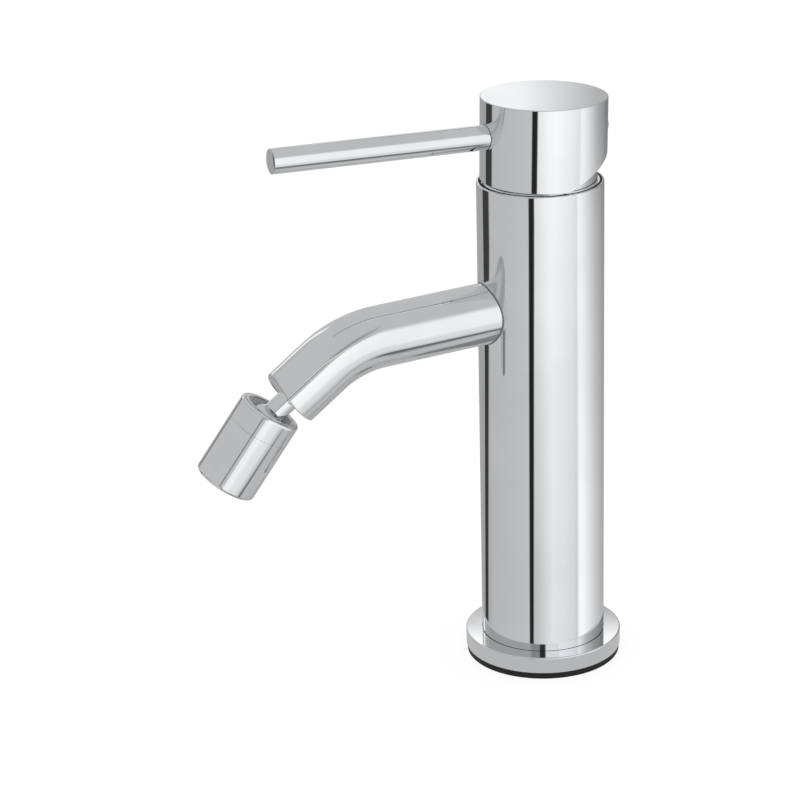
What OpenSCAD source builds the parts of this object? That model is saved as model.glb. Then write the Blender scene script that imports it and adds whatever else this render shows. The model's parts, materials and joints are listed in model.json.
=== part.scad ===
// Single-lever bidet mixer: a round column with a bent spout, a ball-jointed outlet and a rod lever.
// Z is up, the spout and the lever point along -Y, and the origin is on the column's axis at the
// underside of the base gasket.

/* [Base] */
// Diameter of the rubber gasket under the base
gasket_d = 50; // [46:0.2:52]
// Thickness of the gasket
gasket_h = 2.2; // [1.5:0.1:4]
// Diameter of the base flange
flange_d = 50.8; // [48:0.2:60]
// Height of the base flange
flange_h = 5.4; // [4:0.2:10]
// Bevel on the top edge of the flange
flange_bevel = 0.4; // [0.2:0.1:1.5]

/* [Body] */
// Outer diameter of the column
body_d = 40; // [39:0.2:44]
// Wall of the column
body_wall = 3; // [2.6:0.1:3.4]
// Height of the column's rim above the mounting surface
body_top = 160.5; // [150:0.5:190]
// Radius on the outer edge of the column's rim
rim_round = 0.4; // [0.2:0.1:1.2]

/* [Base plug and inlets] */
// Height of the brass plug in the foot of the column
plug_h = 19; // [18:0.5:26]
// Core diameter of the M10x1 inlet threads
inlet_bore = 9; // [8:0.1:10]
// Depth of the inlet threads
inlet_depth = 9; // [7:0.5:10]
// Sideways distance of each inlet from the axis
inlet_x = 8.5; // [7.5:0.1:9]
// Distance of the inlets behind the axis
inlet_y = 3; // [2:0.1:4]
// Core diameter of the M8 fixing stud thread
stud_bore = 6.8; // [5:0.1:7]
// Depth of the fixing stud thread
stud_depth = 12; // [8:0.5:14]
// Distance of the fixing stud in front of the axis
stud_y = 9.5; // [9:0.1:10.5]
// Outer diameter of the inlet pipes
pipe_d = 8; // [7:0.1:8.6]
// Wall of the inlet pipes
pipe_wall = 1; // [0.6:0.1:1.5]
// How deep a pipe sits in the plug
pipe_seat_low = 5; // [3:0.5:6]
// How deep a pipe sits in the valve seat
pipe_seat_high = 3; // [2:0.1:3.4]
// Width of the ring that seals a pipe
pipe_seal_w = 1.2; // [0.8:0.1:1.5]
// Thickness of the ring that seals a pipe
pipe_seal_h = 1.2; // [0.8:0.1:1.6]
// Section diameter of the large sealing rings
ring_section = 1.8; // [1.2:0.1:2]

/* [Cartridge] */
// Outer diameter of the cartridge
cartridge_d = 27.8; // [27.4:0.1:28.2]
// Wall of the cartridge housing
cartridge_wall = 1.5; // [1.2:0.1:1.7]
// Thickness of the cartridge roof round the neck
cartridge_roof = 1.5; // [1:0.1:2]
// Diameter of the turning guide
guide_d = 20; // [19:0.1:20.6]
// Wall of the neck round the turning guide
neck_wall = 1.35; // [1:0.05:1.5]
// Height of the neck above the lever's pivot
neck_rise = 2.5; // [1.5:0.1:3]
// Height of the turning guide above the lever's pivot
guide_rise = 3; // [2.6:0.1:3.4]
// Depth of the turning guide below the lever's pivot
guide_drop = 8.5; // [8:0.1:9]
// Thickness of the turning guide's foot
guide_foot_h = 1.9; // [1.4:0.1:2.4]
// Thickness of each ceramic disc
disc_h = 3.5; // [3:0.1:4.5]
// Diameter of the sliding disc and its carrier
slider_d = 18; // [17:0.1:18.2]
// Height of the sliding disc's carrier
slider_carrier_h = 5.4; // [5:0.1:7]
// Depth of the mixing pocket in the sliding disc
pocket_h = 2; // [1:0.1:2.4]
// Diameter of the mixing pocket
pocket_d = 13; // [11:0.1:14]
// Thickness of the cartridge's bottom plate
plate_h = 3.5; // [3:0.1:5]
// Diameter of the water ports
port_d = 5; // [4:0.1:5.2]
// Distance of the ports from the axis
port_r = 6; // [5.6:0.1:6.4]
// Angle of the two inlet ports behind the side, in degrees
port_angle = 30; // [28:1:32]
// Width of the ring that seals a port
port_seal_w = 1; // [0.6:0.1:1.2]
// Thickness of the ring that seals a port
port_seal_h = 1; // [0.6:0.1:1.5]
// Diameter of the pegs that locate the cartridge
peg_d = 2.4; // [1.5:0.1:2.6]
// Length of the pegs that locate the cartridge
peg_h = 2; // [1:0.1:3]
// Distance of the pegs from the axis
peg_r = 10.4; // [10:0.1:11]
// Angle of the pegs in front of the side, in degrees
peg_angle = 25; // [22:1:28]
// Thickness of the valve seat's floor
seat_floor = 5.2; // [5:0.1:8]
// Height of the nut that holds the cartridge
nut_h = 5; // [4:0.1:6]
// Depth of the spanner slots in the nut
nut_slot_h = 1.5; // [1:0.1:2.5]
// Width of the spanner slots in the nut
nut_slot_w = 3; // [2:0.1:4]

/* [Dome cover] */
// Diameter of the dome under the lever
dome_d = 35.8; // [35.4:0.1:36]
// Wall of the dome
dome_wall = 1.2; // [0.8:0.1:1.5]
// Height of the dome above the column's rim
dome_h = 7.5; // [5:0.1:8]
// Depth of the dome's skirt inside the column
dome_skirt = 1.5; // [1:0.1:2]

/* [Lever] */
// How far the lever is raised at rest
lift_rest = 1.1; // [0:0.1:6]
// Slope cut under the back of the lever head, in degrees
head_cut = 26; // [21:0.5:28]
// Step in from the column's side to the lever head's side
head_step = 0.15; // [0:0.05:0.6]
// Distance of the lever head's axis behind the column's axis
head_shift = 1; // [0:0.1:1.1]
// Distance behind the lever head's axis at which the slope under it starts
head_cut_start = 0; // [-1:0.1:0.3]
// Height of the lever head's top above the pivot
head_top = 26.7; // [24:0.1:32]
// Gap between the lever head and the column's rim
head_gap = 0.5; // [0.4:0.1:1.4]
// Bevel on the top edge of the lever head
head_bevel = 0.5; // [0.2:0.1:1.5]
// Diameter of the boss inside the lever head
boss_d = 18; // [16:0.1:18.6]
// Height of the boss's underside above the pivot
boss_rise = 8; // [7.6:0.1:9]
// Diameter of the lever rod
rod_d = 7.8; // [6:0.1:9]
// Distance of the rod's tip from the axis
rod_reach = 88.8; // [70:0.1:110]
// Height of the rod's axis above the pivot
rod_rise = 15.4; // [14:0.1:17]
// How deep the rod sits in the lever head
rod_seat = 6; // [3:0.1:7]
// Diameter of the rod's threaded end
rod_thread_d = 5; // [3:0.1:5.5]
// Length of the rod's threaded end
rod_thread = 5; // [3:0.1:6]
// Bevel on the rod's tip
rod_bevel = 0.2; // [0.1:0.1:1]
// Width of the square spindle
spindle_w = 8; // [7:0.1:8.6]
// Height of the spindle's top above the pivot
spindle_top = 19.5; // [18.5:0.1:21]
// Width of the spindle's lower arm
arm_w = 3.2; // [2.4:0.1:3.4]
// Distance from the pivot to the spindle's lower ball
arm_reach = 9; // [8.6:0.1:9.2]
// Diameter of the spindle's lower ball
arm_ball_d = 5; // [4.6:0.1:5.4]
// Diameter of the pivot pin
pin_d = 3; // [2:0.1:3.5]
// Diameter of the grub screw
screw_d = 4; // [3:0.1:5]
// Length of the grub screw
screw_h = 8; // [6:0.5:9]
// Width across the corners of the grub screw's hexagon socket
screw_hex = 2.3; // [1.2:0.1:2.6]
// Depth of the grub screw's hexagon socket
screw_hex_h = 2.5; // [1:0.1:3]
// Length of the screw cover inside the lever head
cover_h = 4; // [2:0.1:5]
// Step from the grub screw's side out to the screw cover's side
cover_step = 0.15; // [0.1:0.05:0.5]
// How far the screw cover stands out of the lever head
cover_proud = 2; // [0.2:0.1:2.4]

/* [Spout] */
// Outer diameter of the spout
spout_d = 19.4; // [18:0.1:20.5]
// Wall of the spout
spout_wall = 1.5; // [1:0.1:2]
// Height of the spout's axis at the column's axis
spout_z = 120.5; // [60:0.1:121]
// Slope of the spout's first run below level, in degrees
spout_droop = 3.4; // [0:0.1:10]
// Distance from the column's axis to the start of the bend
spout_run = 55.4; // [35:0.1:90]
// Radius of the bend on the tube's axis
spout_bend_r = 35; // [14:0.5:60]
// Slope of the spout's last run below level, in degrees
spout_slope = 36.8; // [25:0.1:60]
// Length of the spout's last run
spout_end = 13.6; // [11.5:0.1:40]
// How far the sides of the spout's end stand out past its top and bottom
spout_crown = 1.8; // [0.5:0.1:2.5]

/* [Ball joint and aerator] */
// Length of the bush in the spout's end
bush_h = 8; // [5:0.1:9]
// Depth of the bush behind the spout's end
bush_inset = 0.2; // [0.1:0.1:2]
// Diameter of the stem
stem_d = 7.2; // [6:0.1:7.4]
// Diameter of the waterway through the stem
stem_bore = 3.4; // [2:0.1:3.6]
// Diameter of the stem's retaining collar
stem_head_d = 10; // [8.5:0.1:12]
// Thickness of the stem's retaining collar
stem_head_h = 1.5; // [1:0.1:2.5]
// Section diameter of the stem's sealing ring
stem_ring = 1; // [0.6:0.1:1.1]
// Distance from the spout's end to the ball's centre
ball_out = 11.9; // [11.5:0.1:20]
// Diameter of the ball
ball_d = 12; // [11.8:0.1:12.4]
// Turn of the ball joint at rest about the stem, in degrees
turn_rest = -22; // [-180:1:180]
// Tilt of the ball joint at rest, in degrees
tilt_rest = 21.5; // [0:0.1:25]
// Diameter of the swivel collar and the aerator housing
swivel_d = 20; // [19.4:0.1:20.6]
// Height of the collar's top above the ball's centre
collar_rise = 5; // [4.6:0.1:5.4]
// Depth of the collar's foot below the ball's centre
collar_drop = 2.4; // [2.2:0.1:5]
// Diameter of the collar's mouth
mouth_d = 15.2; // [14:0.1:15.8]
// Radius on the outer edges of the collar and the housing
swivel_round = 1; // [0.4:0.1:1.2]
// Wall of the swivel collar
collar_wall = 1.35; // [1:0.05:1.4]
// Height of the ball seat's top above the ball's centre
ball_seat_rise = 2.4; // [2.2:0.1:2.6]
// Depth of the ball seat below the ball's centre
ball_seat_drop = 1; // [0.8:0.1:1.4]
// Gap at the seam between collar and housing
seam = 0.2; // [0.15:0.05:0.5]
// Length of the aerator housing below the seam
housing_h = 20; // [15:0.1:24]
// Wall of the aerator housing
housing_wall = 1.5; // [1.2:0.1:2]
// Diameter of the space under the ball
throat_d = 14; // [13.4:0.1:14.2]
// Thickness of the aerator washer
washer_h = 1.2; // [0.8:0.1:2]
// Width of the aerator washer
washer_w = 1.6; // [1:0.1:2]
// Height of the aerator insert
insert_h = 8; // [6:0.1:9]
// How far the insert sits inside the housing's mouth
insert_inset = 0.6; // [0.2:0.1:1.5]
// Diameter of the insert's jet holes
jet_d = 1.6; // [1:0.1:1.8]
// Distance of the inner ring of jets from the insert's axis
jet_ring_inner = 2.4; // [2:0.1:2.8]
// Distance of the outer ring of jets from the insert's axis
jet_ring_outer = 4.8; // [4.6:0.1:5.4]

/* [Clearances] */
// Radial clearance of a fixed fit
fit = 0.02; // [0.01:0.01:0.04]
// Radial clearance of a turning fit
run_fit = 0.05; // [0.03:0.01:0.1]
// End play of the turning pieces
play = 0.1; // [0.05:0.01:0.2]
// Side clearance of the spindle in its guide
slot_play = 0.12; // [0.05:0.01:0.2]
// Room in front of and behind the fully tilted spindle in its guide
slot_room = 1; // [0.5:0.1:1.5]
// Gap between the two ceramic discs
disc_gap = 0.02; // [0.01:0.01:0.05]
// Radial clearance round the spindle's lower ball
ball_play = 0.15; // [0.1:0.01:0.25]
// Radial gap between the ball and the collar's lip
lip_play = 0.3; // [0.2:0.05:0.4]
// Gap between the dome and the inside of the lever head
dome_gap = 0.3; // [0.2:0.05:0.4]

/* [Hidden] */
$fn = 96;

// Overlap that lets a cut run past a face
cut = 1;

// Radii of the column and of what fits in it
body_r = body_d / 2;
bore_r = body_r - body_wall;
insert_r = bore_r - fit;
ring_r = ring_section / 2;

// Levels from the foot up to the plug
plug_top = plug_h;
pipe_low = plug_top - pipe_seat_low;

// Levels of the cartridge, counted down from the lever's pivot at the column's rim
pivot_z = body_top;
guide_bottom = pivot_z - guide_drop;
chamber_top = guide_bottom + guide_foot_h + play;
shoulder_z = chamber_top + cartridge_roof;
slider_top = guide_bottom - play;
moving_top = slider_top - slider_carrier_h;
moving_bottom = moving_top - disc_h;
fixed_top = moving_bottom - disc_gap;
fixed_bottom = fixed_top - disc_h;
cartridge_bottom = fixed_bottom - plate_h;
seat_bottom = cartridge_bottom - seat_floor;
seat_top = body_top - dome_skirt - play;
pipe_high = seat_bottom + pipe_seat_high;

// Radii of the cartridge
cartridge_r = cartridge_d / 2;
cup_r = cartridge_r + run_fit;
chamber_r = cartridge_r - cartridge_wall;
guide_r = guide_d / 2;
neck_bore_r = guide_r + run_fit;
neck_r = neck_bore_r + neck_wall;
guide_foot_r = chamber_r - play;
slot_half_x = spindle_w / 2 + slot_play;
slot_half_y = spindle_w / 2 + guide_rise * tan(head_cut) + slot_room;

// Places of the three water ports: cold, hot and mixed
port_x = port_r * cos(port_angle);
port_y = port_r * sin(port_angle);
port_places = [[port_x, port_y], [-port_x, port_y], [0, -port_r]];
peg_x = peg_r * cos(peg_angle);
peg_y = peg_r * sin(peg_angle);
peg_places = [[peg_x, -peg_y], [-peg_x, -peg_y]];
inlet_places = [[inlet_x, inlet_y], [-inlet_x, inlet_y]];

// The dome and the hollow of the lever head are spheres round the pivot
dome_r = dome_d / 2;
head_r = body_r - head_step;
head_d = 2 * head_r;
head_front = head_r - head_shift;
head_back = head_r + head_shift;
hollow_r = dome_r + dome_gap;
cover_r = screw_d / 2 + cover_step;
cover_start = head_back - cover_h;

// Slide of the ceramic disc at rest
slide_rest = arm_reach * sin(lift_rest);

// The spout
spout_r = spout_d / 2;
spout_bore_r = spout_r - spout_wall;
spout_bend = spout_slope - spout_droop;
spout_crown_r = (pow(spout_r, 2) + pow(spout_crown, 2)) / (2 * spout_crown);
sleeve_half = 1;

// The ball joint, along its own axis from the ball's centre
ball_r = ball_d / 2;
stem_r = stem_d / 2;
stem_ring_r = stem_ring / 2;
swivel_r = swivel_d / 2;
collar_bore_r = swivel_r - collar_wall;
socket_r = ball_r + run_fit;
lip_r = sqrt(pow(socket_r, 2) - pow(ball_seat_rise, 2)) + lip_play;
housing_top = collar_drop + seam;
housing_end = housing_top + housing_h;
housing_bore_r = swivel_r - housing_wall;
insert_end = housing_end - insert_inset;
insert_start = insert_end - insert_h;
washer_start = insert_start - washer_h;

// Frames in which the pieces are drawn
module lever_frame() {
    translate([0, 0, pivot_z])
        rotate([-lift_rest, 0, 0])
            children();
}

module slide_frame() {
    translate([0, -slide_rest, 0])
        children();
}

module spout_frame() {
    translate([0, 0, spout_z])
        rotate([90 + spout_droop, 0, 0])
            children();
}

module spout_end_frame() {
    spout_frame()
        translate([0, -spout_bend_r, spout_run])
            rotate([spout_bend, 0, 0])
                translate([0, spout_bend_r, spout_end])
                    children();
}

module ball_frame() {
    spout_end_frame()
        translate([0, 0, ball_out])
            children();
}

module swivel_frame() {
    ball_frame()
        rotate([0, 0, turn_rest])
            rotate([tilt_rest, 0, 0])
                children();
}

// Shapes that repeat
module tube(r_out, r_in, z0, z1) {
    difference() {
        translate([0, 0, z0])
            cylinder(r = r_out, h = z1 - z0);
        translate([0, 0, z0 - cut])
            cylinder(r = r_in, h = z1 - z0 + 2 * cut);
    }
}

module bar(r, z0, z1) {
    translate([0, 0, z0])
        cylinder(r = r, h = z1 - z0);
}

module ring_groove(r_out, depth, z0, z1) {
    difference() {
        bar(r_out + cut, z0, z1);
        bar(r_out - depth, z0 - cut, z1 + cut);
    }
}

module o_ring(r_middle, r_section, z) {
    translate([0, 0, z])
        rotate_extrude()
            translate([r_middle, 0])
                circle(r = r_section);
}

// Takes the outer corner off a round piece: up is 1 for its top edge and -1 for its bottom edge
module edge_round(r_out, z, radius, up) {
    difference() {
        translate([0, 0, up > 0 ? z - radius : z - cut])
            rotate_extrude()
                translate([r_out - radius, 0])
                    square([radius + cut, radius + cut]);
        translate([0, 0, z - up * radius])
            rotate_extrude()
                translate([r_out - radius, 0])
                    circle(r = radius);
    }
}

module edge_bevel(r_out, z, bevel) {
    translate([0, 0, z])
        rotate_extrude()
            polygon([[r_out - bevel, 0], [r_out + cut, -bevel - cut], [r_out + cut, cut], [r_out - bevel, cut]]);
}

// Base
module base_gasket() {
    color("dimgray")
        tube(gasket_d / 2, bore_r, 0, gasket_h);
}

module base_flange() {
    color("gainsboro")
        difference() {
            tube(flange_d / 2, body_r + fit, gasket_h, gasket_h + flange_h);
            edge_bevel(flange_d / 2, gasket_h + flange_h, flange_bevel);
        }
}

module base_plug() {
    groove_z = plug_h / 2;
    color("goldenrod")
        difference() {
            bar(insert_r, 0, plug_top);
            ring_groove(insert_r, ring_section, groove_z - ring_r, groove_z + ring_r);
            translate([0, -stud_y, 0])
                bar(stud_bore / 2, -cut, stud_depth);
            for (place = inlet_places)
                translate(place) {
                    bar(inlet_bore / 2, -cut, inlet_depth);
                    bar(pipe_d / 2 - pipe_wall, inlet_depth - cut, plug_top);
                    bar(pipe_d / 2 + fit, pipe_low, plug_top + cut);
                    bar(pipe_d / 2 + pipe_seal_w, plug_top - pipe_seal_h, plug_top + cut);
                }
        }
}

module base_plug_seal() {
    color("black")
        o_ring(insert_r - ring_r, ring_r, plug_h / 2);
}

// Column
module body_tube() {
    color("gainsboro")
        difference() {
            tube(body_r, bore_r, gasket_h, body_top);
            edge_round(body_r, body_top, rim_round, 1);
            spout_frame()
                bar(spout_r + fit, 0, 2 * body_r);
        }
}

// Pipes and their seals
module inlet_pipe(place) {
    color("peru")
        translate(place)
            tube(pipe_d / 2, pipe_d / 2 - pipe_wall, pipe_low, pipe_high);
}

module cold_inlet_pipe() {
    inlet_pipe(inlet_places[0]);
}

module hot_inlet_pipe() {
    inlet_pipe(inlet_places[1]);
}

module inlet_pipe_seals() {
    color("black")
        for (place = inlet_places)
            translate(place)
                for (z = [plug_top - pipe_seal_h, seat_bottom])
                    tube(pipe_d / 2 + pipe_seal_w, pipe_d / 2, z, z + pipe_seal_h);
}

// Valve seat
module valve_seat() {
    groove_z = (cartridge_bottom + seat_bottom) / 2 + seat_floor;
    plenum_top = pipe_high + (cartridge_bottom - pipe_high) / 2;
    color("goldenrod")
        difference() {
            bar(insert_r, seat_bottom, seat_top);
            bar(cup_r, cartridge_bottom, seat_top + cut);
            ring_groove(insert_r, ring_section, groove_z - ring_r, groove_z + ring_r);
            for (place = inlet_places)
                translate(place) {
                    bar(pipe_d / 2 + pipe_seal_w, seat_bottom - cut, seat_bottom + pipe_seal_h);
                    bar(pipe_d / 2 + fit, seat_bottom - cut, pipe_high);
                    bar(pipe_d / 2 - pipe_wall, seat_bottom, plenum_top);
                }
            for (i = [0 : 1])
                translate(port_places[i])
                    bar(port_d / 2, pipe_high, cartridge_bottom + cut);
            translate(port_places[2])
                bar(port_d / 2, seat_bottom - cut, cartridge_bottom + cut);
            for (place = peg_places)
                translate(place)
                    bar(peg_d / 2 + fit, cartridge_bottom - peg_h - play, cartridge_bottom + cut);
        }
}

module valve_seat_seal() {
    color("black")
        o_ring(insert_r - ring_r, ring_r, (cartridge_bottom + seat_bottom) / 2 + seat_floor);
}

// Cartridge
module port_holes(z0, z1) {
    for (place = port_places)
        translate(place)
            bar(port_d / 2, z0, z1);
}

module cartridge_base() {
    color("white")
        difference() {
            union() {
                bar(cartridge_r, cartridge_bottom, fixed_bottom);
                for (place = peg_places)
                    translate(place)
                        bar(peg_d / 2, cartridge_bottom - peg_h, fixed_bottom);
            }
            port_holes(cartridge_bottom - cut, fixed_bottom + cut);
            for (place = port_places)
                translate(place)
                    bar(port_d / 2 + port_seal_w, cartridge_bottom - cut, cartridge_bottom + port_seal_h);
        }
}

module cartridge_port_seals() {
    color("black")
        for (place = port_places)
            translate(place)
                tube(port_d / 2 + port_seal_w, port_d / 2, cartridge_bottom, cartridge_bottom + port_seal_h);
}

module cartridge_housing() {
    color("whitesmoke")
        difference() {
            union() {
                bar(cartridge_r, fixed_bottom, shoulder_z);
                bar(neck_r, shoulder_z - cut, pivot_z + neck_rise);
            }
            bar(chamber_r, fixed_bottom - cut, chamber_top);
            bar(neck_bore_r, chamber_top - cut, pivot_z + neck_rise + cut);
        }
}

module fixed_disc() {
    color("white")
        difference() {
            bar(chamber_r - fit, fixed_bottom, fixed_top);
            port_holes(fixed_bottom - cut, fixed_top + cut);
        }
}

module moving_disc() {
    color("ivory")
        slide_frame()
            difference() {
                bar(slider_d / 2, moving_bottom, moving_top);
                bar(pocket_d / 2, moving_bottom - cut, moving_bottom + pocket_h);
            }
}

module disc_carrier() {
    socket_bottom = pivot_z - arm_reach - arm_ball_d / 2 - 2 * ball_play;
    color("royalblue")
        slide_frame()
            difference() {
                bar(slider_d / 2, moving_top, slider_top);
                bar(arm_ball_d / 2 + ball_play, socket_bottom, slider_top + cut);
            }
}

module turning_guide() {
    color("lightgray")
        difference() {
            union() {
                bar(guide_r, guide_bottom, pivot_z + guide_rise);
                bar(guide_foot_r, guide_bottom, guide_bottom + guide_foot_h);
            }
            translate([-slot_half_x, -slot_half_y, guide_bottom - cut])
                cube([2 * slot_half_x, 2 * slot_half_y, guide_drop + guide_rise + 2 * cut]);
            translate([0, 0, pivot_z])
                rotate([0, 90, 0])
                    bar(pin_d / 2, -guide_r - cut, guide_r + cut);
        }
}

module pivot_pin() {
    pin_half = sqrt(pow(guide_r, 2) - pow(pin_d / 2, 2)) - play;
    color("silver")
        translate([0, 0, pivot_z])
            rotate([0, 90, 0])
                bar(pin_d / 2, -pin_half, pin_half);
}

module cartridge_nut() {
    color("goldenrod")
        difference() {
            tube(cup_r - fit, neck_r + run_fit, shoulder_z, shoulder_z + nut_h);
            translate([-nut_slot_w / 2, -cup_r - cut, shoulder_z + nut_h - nut_slot_h])
                cube([nut_slot_w, 2 * (cup_r + cut), nut_slot_h + cut]);
        }
}

module dome_cover() {
    skirt_r = insert_r - dome_wall;
    color("gainsboro")
        difference() {
            union() {
                intersection() {
                    translate([0, 0, pivot_z])
                        sphere(r = dome_r);
                    bar(dome_r + cut, body_top, body_top + dome_h);
                }
                bar(insert_r, body_top - dome_skirt, body_top + play);
            }
            bar(skirt_r, body_top - dome_skirt - cut, body_top + play);
            intersection() {
                translate([0, 0, pivot_z])
                    sphere(r = dome_r - dome_wall);
                bar(dome_r, body_top, body_top + dome_h + cut);
            }
        }
}

// Lever
module spindle() {
    color("silver")
        lever_frame()
            difference() {
                union() {
                    translate([-spindle_w / 2, -spindle_w / 2, -pin_d])
                        cube([spindle_w, spindle_w, spindle_top + pin_d]);
                    translate([-arm_w / 2, -arm_w / 2, -arm_reach])
                        cube([arm_w, arm_w, arm_reach]);
                    translate([0, 0, -arm_reach])
                        sphere(d = arm_ball_d);
                }
                rotate([0, 90, 0])
                    bar(pin_d / 2 + run_fit, -spindle_w, spindle_w);
            }
}

module lever_head() {
    socket_w = spindle_w + 2 * fit;
    color("gainsboro")
        lever_frame()
            difference() {
                translate([0, head_shift, 0])
                    difference() {
                        bar(head_r, head_gap, head_top);
                        edge_bevel(head_r, head_top, head_bevel);
                        translate([0, head_cut_start, head_gap])
                            rotate([head_cut, 0, 0])
                                translate([-head_d, 0, -head_d])
                                    cube([2 * head_d, 2 * head_d, head_d]);
                    }
                difference() {
                    sphere(r = hollow_r);
                    bar(boss_d / 2, boss_rise, head_top);
                }
                translate([-socket_w / 2, -socket_w / 2, 0])
                    cube([socket_w, socket_w, spindle_top + play]);
                translate([0, 0, rod_rise])
                    rotate([90, 0, 0]) {
                        bar(rod_d / 2 + fit, head_front - rod_seat, head_front + cut);
                        bar(rod_thread_d / 2 + fit, head_front - rod_seat - rod_thread, head_front);
                    }
                translate([0, 0, rod_rise])
                    rotate([-90, 0, 0]) {
                        bar(screw_d / 2 + fit, 0, head_back);
                        bar(cover_r + fit, cover_start, head_back + cut);
                    }
            }
}

module lever_rod() {
    color("gainsboro")
        lever_frame()
            translate([0, 0, rod_rise])
                rotate([90, 0, 0])
                    difference() {
                        union() {
                            bar(rod_d / 2, head_front - rod_seat, rod_reach);
                            bar(rod_thread_d / 2, head_front - rod_seat - rod_thread, head_front);
                        }
                        edge_bevel(rod_d / 2, rod_reach, rod_bevel);
                    }
}

module grub_screw() {
    screw_start = spindle_w / 2;
    color("dimgray")
        lever_frame()
            translate([0, 0, rod_rise])
                rotate([-90, 0, 0])
                    difference() {
                        bar(screw_d / 2, screw_start, screw_start + screw_h);
                        translate([0, 0, screw_start + screw_h - screw_hex_h])
                            cylinder(d = screw_hex, h = screw_hex_h + cut, $fn = 6);
                    }
}

module screw_cover() {
    color("gainsboro")
        lever_frame()
            translate([0, 0, rod_rise])
                rotate([-90, 0, 0])
                    bar(cover_r, cover_start, head_back + cover_proud);
}

// Spout
module spout_solid(r, before, after) {
    spout_frame()
        bar(r, -before, spout_run);
    spout_frame()
        translate([0, -spout_bend_r, spout_run])
            rotate([90, 0, 90])
                rotate_extrude(angle = spout_bend)
                    translate([spout_bend_r, 0])
                        circle(r = r);
    spout_end_frame()
        bar(r, -spout_end, after);
}

module spout() {
    color("gainsboro")
        difference() {
            union() {
                spout_solid(spout_r, 0, spout_crown);
                // A short sleeve inside the wall ties the last run to the bend
                spout_end_frame()
                    bar(spout_r - spout_wall / 2, -spout_end - sleeve_half, -spout_end + sleeve_half);
            }
            spout_solid(spout_bore_r, cut, spout_crown + cut);
            bar(bore_r, 0, body_top);
            past_crown(0);
        }
}

// What lies past the spout's crowned end, or past a face at some depth behind that end
module past_crown(depth) {
    spout_end_frame()
        translate([0, 0, -depth])
            difference() {
                translate([-spout_d, -spout_d, 0])
                    cube(2 * spout_d);
                translate([0, 0, spout_crown - spout_crown_r])
                    rotate([0, 90, 0])
                        bar(spout_crown_r, -spout_d - cut, spout_d + cut);
            }
}

// Ball joint
module outlet_bush() {
    color("lightgray")
        difference() {
            spout_end_frame()
                tube(spout_bore_r - fit, stem_r + run_fit, -bush_inset - bush_h, spout_crown);
            past_crown(bush_inset);
        }
}

module ball_stem() {
    head_bottom = -ball_out - bush_inset - bush_h - play;
    ring_z = -ball_out - bush_inset - bush_h / 2;
    color("gainsboro")
        ball_frame()
            difference() {
                union() {
                    sphere(r = ball_r);
                    bar(stem_r, head_bottom - stem_head_h, 0);
                    bar(stem_head_d / 2, head_bottom - stem_head_h, head_bottom);
                }
                ring_groove(stem_r, stem_ring, ring_z - stem_ring_r, ring_z + stem_ring_r);
                bar(stem_bore / 2, head_bottom - stem_head_h - cut, ball_r + cut);
            }
}

module stem_seal() {
    color("black")
        ball_frame()
            o_ring(stem_r - stem_ring_r, stem_ring_r, -ball_out - bush_inset - bush_h / 2);
}

module ball_seat() {
    color("white")
        swivel_frame()
            difference() {
                bar(collar_bore_r - fit, -ball_seat_rise, ball_seat_drop);
                sphere(r = socket_r);
            }
}

module swivel_collar() {
    color("gainsboro")
        swivel_frame()
            difference() {
                bar(swivel_r, -collar_rise, collar_drop);
                edge_round(swivel_r, -collar_rise, swivel_round, -1);
                bar(collar_bore_r, -ball_seat_rise, collar_drop + cut);
                translate([0, 0, -collar_rise])
                    cylinder(r1 = mouth_d / 2, r2 = lip_r, h = collar_rise - ball_seat_rise);
                bar(lip_r, -collar_rise, 0);
            }
}

// Aerator
module aerator_housing() {
    spigot_start = ball_seat_drop + play;
    color("gainsboro")
        swivel_frame()
            difference() {
                union() {
                    bar(collar_bore_r - run_fit, spigot_start, housing_top);
                    bar(swivel_r, housing_top, housing_end);
                }
                edge_round(swivel_r, housing_end, swivel_round, 1);
                bar(throat_d / 2, spigot_start - cut, housing_end);
                bar(housing_bore_r, washer_start, housing_end + cut);
            }
}

module aerator_washer() {
    color("black")
        swivel_frame()
            tube(housing_bore_r - fit, housing_bore_r - washer_w, washer_start, insert_start);
}

module aerator_insert() {
    jet_rings = [[0, 1], [jet_ring_inner, 6], [jet_ring_outer, 12]];
    color("whitesmoke")
        swivel_frame()
            difference() {
                bar(housing_bore_r - fit, insert_start, insert_end);
                for (ring = jet_rings)
                    for (i = [0 : ring[1] - 1])
                        rotate([0, 0, 360 * i / ring[1]])
                            translate([ring[0], 0, 0])
                                bar(jet_d / 2, insert_start - cut, insert_end + cut);
            }
}

base_gasket();
base_flange();
base_plug();
base_plug_seal();
body_tube();
cold_inlet_pipe();
hot_inlet_pipe();
inlet_pipe_seals();
valve_seat();
valve_seat_seal();
cartridge_base();
cartridge_port_seals();
cartridge_housing();
fixed_disc();
moving_disc();
disc_carrier();
turning_guide();
pivot_pin();
spindle();
cartridge_nut();
dome_cover();
lever_head();
lever_rod();
grub_screw();
screw_cover();
spout();
outlet_bush();
ball_stem();
stem_seal();
ball_seat();
swivel_collar();
aerator_housing();
aerator_washer();
aerator_insert();
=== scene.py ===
import json
import math

import bmesh
import bpy
from mathutils import Matrix, Vector


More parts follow.
